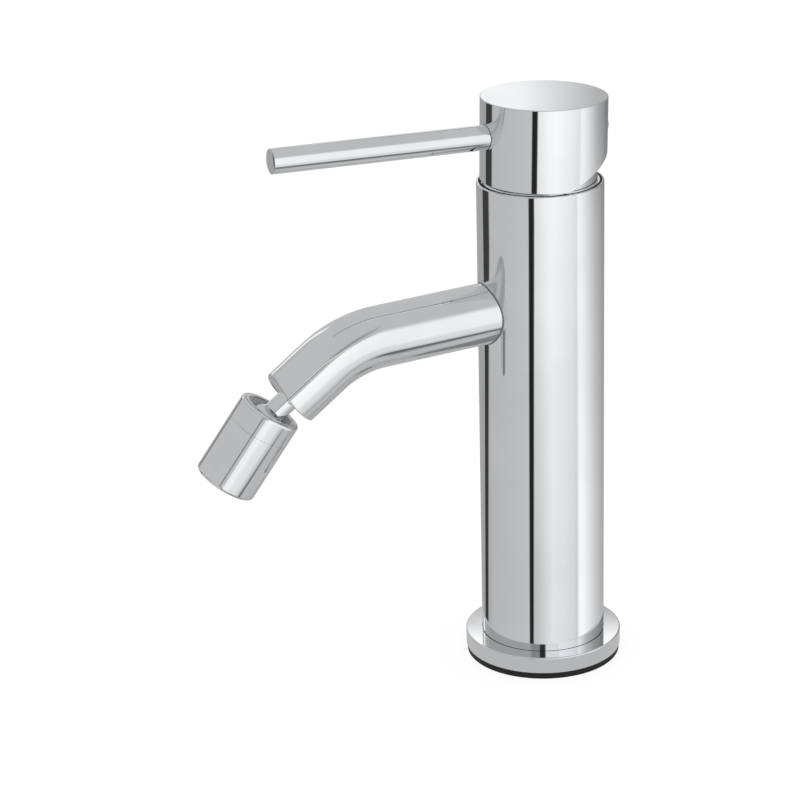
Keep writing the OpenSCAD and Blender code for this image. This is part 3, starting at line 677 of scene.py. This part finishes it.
def addFloor():
    look = floorLook
    bm = bmesh.new()
    bmesh.ops.create_circle(bm, cap_ends=True, radius=look["radius"], segments=96)
    mesh = bpy.data.meshes.new("studioFloor")
    bm.to_mesh(mesh)
    bm.free()
    floor = bpy.data.objects.new("studioFloor", mesh)
    bpy.context.scene.collection.objects.link(floor)
    material, shader, coord = startMaterial("paleFloor", look["tone"], 0.0, look["roughness"])
    shader.inputs["Specular IOR Level"].default_value = 0.0
    nodes, links = material.node_tree.nodes, material.node_tree.links
    glow = nodes.new("ShaderNodeEmission")
    glow.inputs["Strength"].default_value = look["glow"]
    mix = nodes.new("ShaderNodeMixShader")
    path = nodes.new("ShaderNodeLightPath")
    share = nodes.new("ShaderNodeMath")
    share.operation = "MULTIPLY"
    share.inputs[1].default_value = look["cameraShare"]
    links.new(path.outputs["Is Camera Ray"], share.inputs[0])
    links.new(share.outputs[0], mix.inputs["Fac"])
    links.new(shader.outputs["BSDF"], mix.inputs[1])
    links.new(glow.outputs["Emission"], mix.inputs[2])
    # the chrome shows a grey glowing ring on the floor close to the foot, a painted shade of the floor round the
    # base, and the tent's cards further out
    reach = nodes.new("ShaderNodeVectorMath")
    reach.operation = "LENGTH"
    links.new(coord.outputs["Object"], reach.inputs[0])
    nearFootShade = smoothStep(material, reach.outputs["Value"], look["footShadeEnd"], look["footShadeStart"])
    # painted shade: this ring glows grey, and only reflections show it
    ring = nodes.new("ShaderNodeEmission")
    ring.inputs["Strength"].default_value = look["footShadeLevel"]
    mirroredFootShade = mixShaders(material, nearFootShade, nodes.new("ShaderNodeBsdfTransparent"), ring)
    whole = mixShaders(material, path.outputs["Is Glossy Ray"], mix, mirroredFootShade)
    links.new(whole.outputs[0], nodes["Material Output"].inputs["Surface"])
    mesh.materials.append(material)


def mixShaders(holder, share, first, second):
    mix = holder.node_tree.nodes.new("ShaderNodeMixShader")
    for socket, source in zip(mix.inputs, (share, first.outputs[0], second.outputs[0])):
        holder.node_tree.links.new(source, socket)
    return mix


cameraView = {"azimuth": 65.0, "distance": 0.82597, "height": 0.39828, "yaw": 3.149, "pitch": 20.6,
              "roll": -1.477, "focalPixels": 2748.0, "imagePixels": 800.0, "sensor": 36.0,
              "clipStart": 0.05}


def addCamera():
    view = cameraView
    data = bpy.data.cameras.new("photoCamera")
    data.sensor_width = view["sensor"]
    data.lens = view["focalPixels"] / view["imagePixels"] * view["sensor"]
    data.clip_start = view["clipStart"]
    camera = bpy.data.objects.new("photoCamera", data)
    azimuth = math.radians(view["azimuth"])
    place = Vector((math.sin(azimuth), -math.cos(azimuth), 0)) * view["distance"]
    place.z = view["height"]
    aim = Matrix.Rotation(azimuth + math.radians(view["yaw"]), 4, "Z")
    aim = aim @ Matrix.Rotation(math.radians(90 - view["pitch"]), 4, "X")
    aim = aim @ Matrix.Rotation(math.radians(view["roll"]), 4, "Z")
    camera.matrix_world = Matrix.Translation(place) @ aim
    bpy.context.scene.collection.objects.link(camera)
    bpy.context.scene.camera = camera


# the tent round the mixer, in degrees right of the camera's side and above level, with grey levels
tentPanelLow = [(-180, 0.50), (-12, 0.50), (8, 0.66), (19, 0.75), (43, 0.72), (63, 0.65), (68, 0.585),
                (73, 0.93), (82, 0.94), (98, 0.78), (117, 0.60), (145, 0.43), (165, 0.36), (180, 0.36)]
tentPanelHigh = [(-180, 0.80), (-8, 0.80), (10, 0.92), (24, 0.94), (39, 0.88), (55, 0.82), (67, 0.745),
                 (71.5, 0.875), (75, 0.86), (91, 0.69), (114, 0.45), (150, 0.26), (180, 0.22)]
tentGreyLow = [(-180, 0.36), (-165, 0.34), (-134, 0.34), (-105, 0.465), (-60, 0.49), (-25, 0.52), (180, 0.52)]
tentGround = [(-180, 0.47), (90, 0.47), (112, 0.40), (140, 0.32), (165, 0.42), (180, 0.47)]
# each dark strip's edges: place, level below which the edge leans, and its lean
tentStrips = [{"left": (-127, 19.8, 2.6), "right": (-106, 17.5, 2.7), "soft": 2.0, "depth": 0.9},
              {"left": (-21, 17.0, 0.47), "right": (-10.8, 17.0, 0.75), "soft": 1.3, "depth": 0.97}]
tentStripHeight = [(-90, 0), (-28.2, 0), (-26.6, 1), (-10, 1), (-6, 0), (90, 0)]
# the line along the panel's left edge, thin below and soft above
tentLines = [
    {"height": [(-90, 0), (-9, 0), (-6, 1), (4, 1), (9, 0), (90, 0)],
     "span": [(-180, 0), (-36.5, 0), (-34, 0.6), (-31, 0.6), (-28, 0), (180, 0)]},
    {"height": [(-90, 0), (4, 0), (9, 1), (40, 1), (60, 0), (90, 0)],
     "span": [(-180, 0), (-43, 0), (-36, 0.3), (-33, 0.4), (-28, 0.4), (-25, 0), (180, 0)]}]
# thin borders and soft shades: how deep at each height, and where round the tent
tentShades = [
    {"height": [(-90, 0), (-45.4, 0), (-44.4, 0.75), (-43.2, 0.75), (-41.8, 0), (90, 0)],
     "span": [(-180, 0), (35, 0), (44, 1), (59, 1), (63, 0.3), (80, 0.3), (95, 0), (180, 0)]},
    {"height": [(-90, 0), (-57, 0), (-54.5, 0.4), (-51, 0.6), (-46.5, 0.75), (-45.4, 0.75), (-44.4, 0),
                (90, 0)],
     "span": [(-180, 0), (40, 0), (48, 0.8), (54, 1), (61.5, 1), (64.5, 0.3), (67, 0), (180, 0)]},
    {"height": [(-90, 0), (-60, 0), (-58, 0.45), (-55, 0.45), (-53, 0), (90, 0)],
     "span": [(-180, 0), (48, 0), (55, 1), (64, 1), (70, 0), (180, 0)]},
    {"height": [(-90, 0), (20, 0), (24, 0.25), (30, 0.25), (34, 0), (90, 0)],
     "span": [(-180, 0), (-150, 0), (-120, 1), (-30, 1), (0, 0), (75, 0), (90, 1), (150, 1), (180, 0)]},
    {"height": [(-90, 0), (-17, 0), (-15, 0.27), (-8, 0.27), (-4, 0), (90, 0)],
     "span": [(-180, 0), (80, 0), (108, 0.65), (155, 1), (180, 0.5)]},
    {"height": [(-90, 0), (-6, 0), (-3, 0.6), (2, 0.6), (5, 0), (90, 0)],
     "span": [(-180, 0), (-152, 0), (-146, 1), (-137, 1), (-132, 0), (180, 0)]},
    {"height": [(-90, 0), (23.5, 0), (25, 1), (27.5, 1), (28.5, 0), (90, 0)],
     "span": [(-180, 0), (-26, 0), (-20, 0.4), (-7, 0.45), (-5.5, 0.95), (4, 0.95), (5.5, 0), (180, 0)]},
    {"height": [(-90, 0), (-12.5, 0), (-9, 0.27), (14.5, 0.27), (16.3, 0), (90, 0)],
     "span": [(-180, 0), (-95, 0), (-85, 1), (-62, 1), (-57, 0), (180, 0)]},
    {"height": [(-90, 0), (-12.5, 0), (-9, 0.27), (9, 0.27), (11.2, 0), (90, 0)],
     "span": [(-180, 0), (-62, 0), (-57, 1), (-46, 1), (-41, 0), (180, 0)]},
    {"height": [(-90, 0.5), (-70, 0.5), (-67, 0), (90, 0)], "span": [(-180, 1), (180, 1)]},
    {"height": [(-90, 0), (-70, 0), (-67, 0.5), (-57, 0.5), (-54, 0), (90, 0)],
     "span": [(-180, 0), (-110, 0), (-100, 1), (20, 1), (30, 0), (180, 0)]}]
# light cards that the spout's edge, the collar's rim and the foot show
tentGlints = [
    {"height": [(-90, 0), (5, 0), (10, 1), (30, 1), (34, 0), (90, 0)],
     "span": [(-180, 0), (-155, 0), (-151.5, 1), (-147, 1), (-143, 0), (180, 0)]},
    {"height": [(-90, 0), (-1, 0), (2, 1), (6, 1), (9, 0), (90, 0)],
     "span": [(-180, 0), (150, 0), (160, 0.46), (180, 0.46)]},
    {"height": [(-90, 0), (24.2, 0), (25.2, 1), (26.5, 1), (27.5, 0), (90, 0)],
     "span": [(-180, 0), (3.5, 0), (6, 0.82), (28, 0.82), (32, 0), (180, 0)]}]
# the card behind the mixer, by degrees from its middle, and its heights
tentBackLow = [(-8, 0), (-5, 0), (-3, 0.38), (-1.8, 0.41), (-0.1, 0.84), (0.2, 0.86), (2.2, 0.86), (3.5, 0),
               (8, 0)]
tentBackHigh = [(-8, 0), (-3.5, 0), (-2.5, 1), (2.5, 1), (3.5, 0), (8, 0)]
tentBackHeight = [(-90, 0), (1, 0), (6, 1), (27, 1), (29, 0), (90, 0)]
tentLook = {"grey": 0.49, "roofStart": 26.0, "roofEnd": 44.0, "floorStart": -33.0, "floorEnd": -44.0,
            "panelStart": -24.8, "panelEnd": -15.0, "greyStart": -8.0, "greyEnd": -4.0, "edgeStart": -18.0,
            "edgeEnd": -12.5, "edgeLean": 1.1, "edgeLevel": 14.0, "cardLow": (24.95, 0.38),
            "cardHigh": (25.65, 1.0), "cardMeet": (18.0, 22.0), "strength": 1.2}


def addTent():
    world = bpy.data.worlds.new("studioTent")
    bpy.context.scene.world = world
    world.use_nodes = True
    nodes, links = world.node_tree.nodes, world.node_tree.links
    look = tentLook
    direction = nodes.new("ShaderNodeTexCoord").outputs["Generated"]
    azimuth = math.radians(cameraView["azimuth"])
    sideways = dotWith(world, direction, (math.cos(azimuth), math.sin(azimuth), 0))
    forward = dotWith(world, direction, (math.sin(azimuth), -math.cos(azimuth), 0))
    upward = dotWith(world, direction, (0, 0, 1))
    turn = calc(world, "DEGREES", calc(world, "ARCTAN2", sideways, forward))
    rise = calc(world, "DEGREES", calc(world, "ARCSINE", upward))
    # the big panel, whose left edge leans to the right above eye level, with a thin line along it
    raised = calc(world, "MAXIMUM", calc(world, "ADD", rise, look["edgeLevel"]), 0.0)
    edgeTurn = calc(world, "SUBTRACT", turn, calc(world, "MULTIPLY", raised, look["edgeLean"]))
    panel = blend(world, levels(world, turn, tentPanelLow, -180, 180),
                  levels(world, turn, tentPanelHigh, -180, 180),
                  straight(world, rise, (look["panelStart"], 0), (look["panelEnd"], 1)))
    grey = blend(world, levels(world, turn, tentGreyLow, -180, 180), look["grey"],
                 smoothStep(world, rise, look["greyStart"], look["greyEnd"]))
    roof = smoothStep(world, rise, look["roofStart"], look["roofEnd"])
    ground = smoothStep(world, rise, look["floorStart"], look["floorEnd"])
    onPanel = smoothStep(world, edgeTurn, look["edgeStart"], look["edgeEnd"])
    onPanel = calc(world, "MULTIPLY", onPanel, calc(world, "SUBTRACT", 1.0, roof))
    tent = blend(world, grey, panel, onPanel)
    tent = blend(world, tent, levels(world, turn, tentGround, -180, 180), ground)
    strips = 0.0
    for strip in tentStrips:
        left = stripEdge(world, turn, rise, strip["left"], strip["soft"])
        right = stripEdge(world, turn, rise, strip["right"], strip["soft"])
        dark = calc(world, "MULTIPLY", calc(world, "SUBTRACT", left, right), strip["depth"])
        strips = calc(world, "ADD", strips, dark)
    strips = calc(world, "MULTIPLY", strips, levels(world, rise, tentStripHeight, -90, 90))
    shades = [patch(world, edgeTurn, rise, shape) for shape in tentLines]
    shades += [patch(world, turn, rise, shape) for shape in tentShades]
    for shade in [strips] + shades:
        tent = calc(world, "MULTIPLY", tent, calc(world, "SUBTRACT", 1.0, shade))
    for shape in tentGlints:
        tent = calc(world, "MAXIMUM", tent, patch(world, turn, rise, shape))
    # the card behind the mixer, which the level faces show
    behind = calc(world, "MULTIPLY", sideways, -1.0)
    behind = calc(world, "DEGREES", calc(world, "ARCTAN2", behind, calc(world, "MULTIPLY", forward, -1.0)))
    upper = calc(world, "MULTIPLY", levels(world, behind, tentBackHigh, -8, 8),
                 straight(world, rise, look["cardLow"], look["cardHigh"]))
    card = blend(world, levels(world, behind, tentBackLow, -8, 8), upper,
                 smoothStep(world, rise, *look["cardMeet"]))
    card = calc(world, "MULTIPLY", card, levels(world, rise, tentBackHeight, -90, 90))
    tent = calc(world, "MAXIMUM", tent, card)
    cards = nodes.new("ShaderNodeBackground")
    cards.inputs["Strength"].default_value = look["strength"]
    links.new(tent, cards.inputs["Color"])
    plain = nodes["Background"]
    plain.inputs["Color"].default_value = (1, 1, 1, 1)
    path = nodes.new("ShaderNodeLightPath")
    mix = mixShaders(world, path.outputs["Is Glossy Ray"], plain, cards)
    links.new(mix.outputs[0], nodes["World Output"].inputs["Surface"])


def patch(world, turn, rise, shape):
    return calc(world, "MULTIPLY", levels(world, rise, shape["height"], -90, 90),
                levels(world, turn, shape["span"], -180, 180))


def stripEdge(world, turn, rise, edge, soft):
    place, level, lean = edge
    sunk = calc(world, "MINIMUM", calc(world, "ADD", rise, level), 0.0)
    moved = calc(world, "SUBTRACT", turn, calc(world, "MULTIPLY", sunk, lean))
    return smoothStep(world, moved, place - soft, place + soft)


def dotWith(world, direction, axis):
    dot = world.node_tree.nodes.new("ShaderNodeVectorMath")
    dot.operation = "DOT_PRODUCT"
    dot.inputs[1].default_value = axis
    world.node_tree.links.new(direction, dot.inputs[0])
    return dot.outputs["Value"]


def calc(world, operation, *values):
    node = world.node_tree.nodes.new("ShaderNodeMath")
    node.operation = operation
    for socket, value in zip(node.inputs, values):
        if isinstance(value, (int, float)):
            socket.default_value = value
        else:
            world.node_tree.links.new(value, socket)
    return node.outputs[0]


def blend(world, first, second, share):
    kept = calc(world, "MULTIPLY", first, calc(world, "SUBTRACT", 1.0, share))
    return calc(world, "ADD", kept, calc(world, "MULTIPLY", second, share))


def straight(world, value, low, high):
    # a number that runs evenly between two (place, number) pairs
    node = world.node_tree.nodes.new("ShaderNodeMapRange")
    node.inputs["From Min"].default_value, node.inputs["To Min"].default_value = low
    node.inputs["From Max"].default_value, node.inputs["To Max"].default_value = high
    world.node_tree.links.new(value, node.inputs["Value"])
    return node.outputs["Result"]


def smoothStep(holder, value, start, end):
    node = holder.node_tree.nodes.new("ShaderNodeMapRange")
    node.interpolation_type = "SMOOTHSTEP"
    node.inputs["From Min"].default_value = start
    node.inputs["From Max"].default_value = end
    holder.node_tree.links.new(value, node.inputs["Value"])
    return node.outputs["Result"]


def levels(world, value, stops, low, high):
    # a grey level that runs from stop to stop
    tree = world.node_tree
    spanNode = tree.nodes.new("ShaderNodeMapRange")
    spanNode.inputs["From Min"].default_value = low
    spanNode.inputs["From Max"].default_value = high
    tree.links.new(value, spanNode.inputs["Value"])
    ramp = tree.nodes.new("ShaderNodeValToRGB")
    elements = ramp.color_ramp.elements
    for place, grey in stops[1:-1]:
        elements.new((place - low) / (high - low)).color = (grey, grey, grey, 1)
    for element, stop in ((elements[0], stops[0]), (elements[-1], stops[-1])):
        element.color = (stop[1], stop[1], stop[1], 1)
    tree.links.new(spanNode.outputs["Result"], ramp.inputs["Fac"])
    return ramp.outputs["Color"]


addFloor()
addCamera()
addTent()
bpy.context.scene.view_settings.view_transform = "Standard"
print("scene done")
